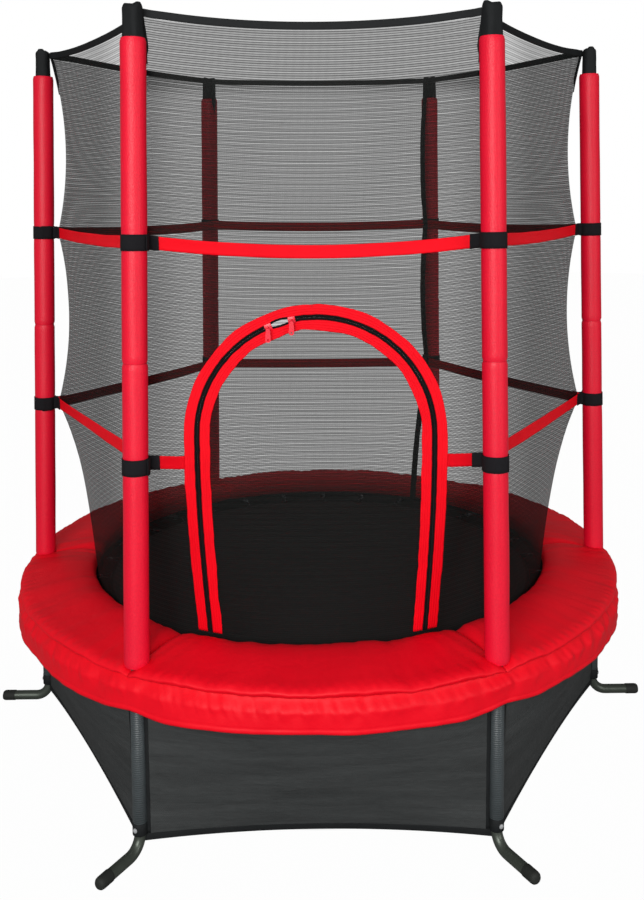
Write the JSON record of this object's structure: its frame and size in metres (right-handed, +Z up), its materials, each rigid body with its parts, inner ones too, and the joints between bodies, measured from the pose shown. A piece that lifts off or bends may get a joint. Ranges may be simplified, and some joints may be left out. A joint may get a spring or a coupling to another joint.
{
  "type": "trampoline",
  "caption": "Small round garden trampoline with a hexagonal safety net on padded poles, an arched zip door, a sewn spring pad and a mesh skirt round bent tube legs.",
  "frame": {"origin": "on the floor under the middle of the jump mat", "axes": "+Z up along the poles, -Y out through the zip door, +X to the right as seen from the door"},
  "size_m": [1.58, 1.4091, 1.59],
  "materials": {
    "frame_steel": "satin",
    "foot_cap": "matte",
    "foam": "satin",
    "pad": "satin",
    "webbing": "matte",
    "net": "matte",
    "binding": "matte",
    "skirt": "satin",
    "mat": "matte",
    "spring_steel": "polished",
    "zip_coil": "matte",
    "zip_slider": "gloss"
  },
  "bodies": {
    "frame": {"ring_section_1": "frame_steel", "ring_section_2": "frame_steel", "ring_section_3": "frame_steel", "ring_section_4": "frame_steel", "ring_section_5": "frame_steel", "ring_section_6": "frame_steel", "leg_1": "frame_steel", "leg_2": "frame_steel", "leg_3": "frame_steel", "leg_4": "frame_steel", "leg_5": "frame_steel", "leg_6": "frame_steel", "foot_cap_1": "foot_cap", "foot_cap_2": "foot_cap", "foot_cap_3": "foot_cap", "foot_cap_4": "foot_cap", "foot_cap_5": "foot_cap", "foot_cap_6": "foot_cap", "pole_1": "frame_steel", "pole_2": "frame_steel", "pole_3": "frame_steel", "pole_4": "frame_steel", "pole_5": "frame_steel", "pole_6": "frame_steel", "foam_lower_1": "foam", "foam_lower_2": "foam", "foam_lower_3": "foam", "foam_lower_4": "foam", "foam_lower_5": "foam", "foam_lower_6": "foam", "foam_upper_1": "foam", "foam_upper_2": "foam", "foam_upper_3": "foam", "foam_upper_4": "foam", "foam_upper_5": "foam", "foam_upper_6": "foam", "spring_pad": "pad", "net_panel_1": "net", "net_panel_2": "net", "net_panel_3": "net", "net_panel_4": "net", "net_panel_6": "net", "net_door_panel": "net", "net_top_hem": "binding", "upper_strap": "webbing", "lower_strap": "webbing", "door_tape_outer": "webbing", "zip_coil_outer": "zip_coil", "skirt": "skirt"},
    "mat": {"jump_mat": "mat", "spring_set": "spring_steel"},
    "door": {"door_flap": "net", "door_tape_inner": "webbing", "zip_coil_inner": "zip_coil"},
    "slider_left": {"zip_slider_left": "zip_slider"},
    "slider_right": {"zip_slider_right": "zip_slider"},
    "pull_left": {"zip_pull_left": "zip_slider"},
    "pull_right": {"zip_pull_right": "zip_slider"}
  },
  "joints": [
    {"name": "mat_bounce", "type": "slide", "parent": "frame", "child": "mat", "axis": [0, 0, 1], "range_m": [-0.1, 0], "stiffness_N_per_m": 5000, "springref_m": 0.012, "deforming": ["spring_set"]},
    {"name": "door_swing", "type": "hinge", "parent": "frame", "child": "door", "pos_m": [0, -0.49, 0.3925], "axis": [-1, 0, 0], "range_deg": [0, 80]},
    {"name": "zip_slide_left", "type": "hinge", "parent": "frame", "child": "slider_left", "pos_m": [0, -0.55, 0.7945], "axis": [0, 1, 0], "range_deg": [-65, 3]},
    {"name": "zip_slide_right", "type": "hinge", "parent": "frame", "child": "slider_right", "pos_m": [0, -0.55, 0.7945], "axis": [0, 1, 0], "range_deg": [-3, 99]},
    {"name": "pull_left_swing", "type": "hinge", "parent": "slider_left", "child": "pull_left", "pos_m": [-0.08733, -0.55675, 1.00023], "axis": [-1, 0, 0], "range_deg": [0, 100]},
    {"name": "pull_right_swing", "type": "hinge", "parent": "slider_right", "child": "pull_right", "pos_m": [-0.04379, -0.55675, 1.01367], "axis": [-1, 0, 0], "range_deg": [0, 100]}
  ]
}
